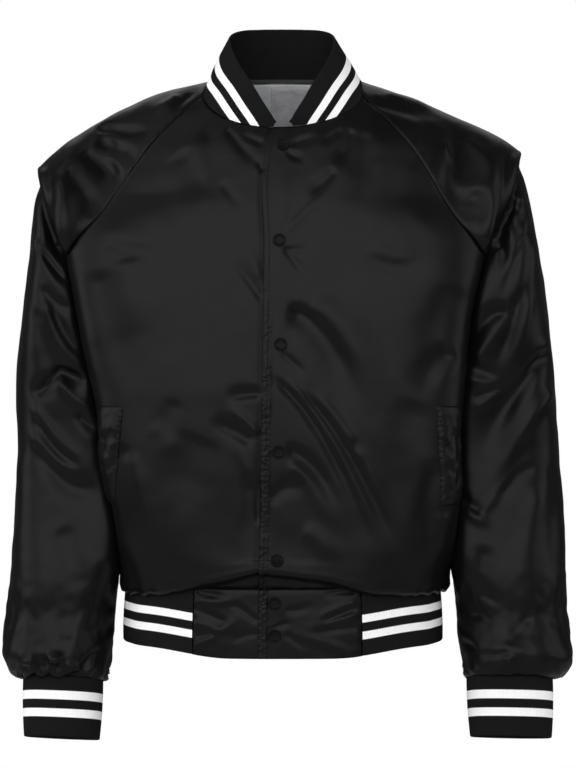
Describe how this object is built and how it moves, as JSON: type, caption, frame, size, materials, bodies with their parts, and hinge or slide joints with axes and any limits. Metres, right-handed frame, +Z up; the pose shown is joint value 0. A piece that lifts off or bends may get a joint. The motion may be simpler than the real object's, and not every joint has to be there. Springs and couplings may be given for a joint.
{
  "type": "satin baseball jacket",
  "caption": "Hollow, snap-fastened satin baseball jacket with raglan sleeves and striped knit rib at the neck, cuffs and waist, held in the shape it has when worn.",
  "frame": {"origin": "in the neck, level with the place where the wearer's shoulders carry the yoke", "axes": "+Z up, -Y the front, +X the wearer's left"},
  "size_m": [0.6755, 0.2616, 0.8599],
  "materials": {
    "satin": "glossy black satin weave",
    "knit_rib": "matt black knit rib with two white stripes",
    "snap_enamel": "gloss black enamel on pressed metal",
    "lining": "light grey brushed lining",
    "label": "silver-grey woven satin, blank",
    "neck_tape": "black twill tape"
  },
  "bodies": {
    "root": {"back": "satin", "collar": "knit_rib", "cuff_left": "knit_rib", "cuff_right": "knit_rib", "front_left": "satin", "front_right": "satin", "label": "label", "lining": "lining", "neck_tape": "neck_tape", "pocket_welt_left": "satin", "pocket_welt_right": "satin", "sleeve_left": "satin", "sleeve_right": "satin", "snap_1": "snap_enamel", "snap_2": "snap_enamel", "snap_3": "snap_enamel", "snap_4": "snap_enamel", "snap_5": "snap_enamel", "snap_6": "snap_enamel", "snap_7": "snap_enamel", "tab_left": "satin", "tab_right": "satin", "waistband_rib": "knit_rib"}
  },
  "joints": []
}
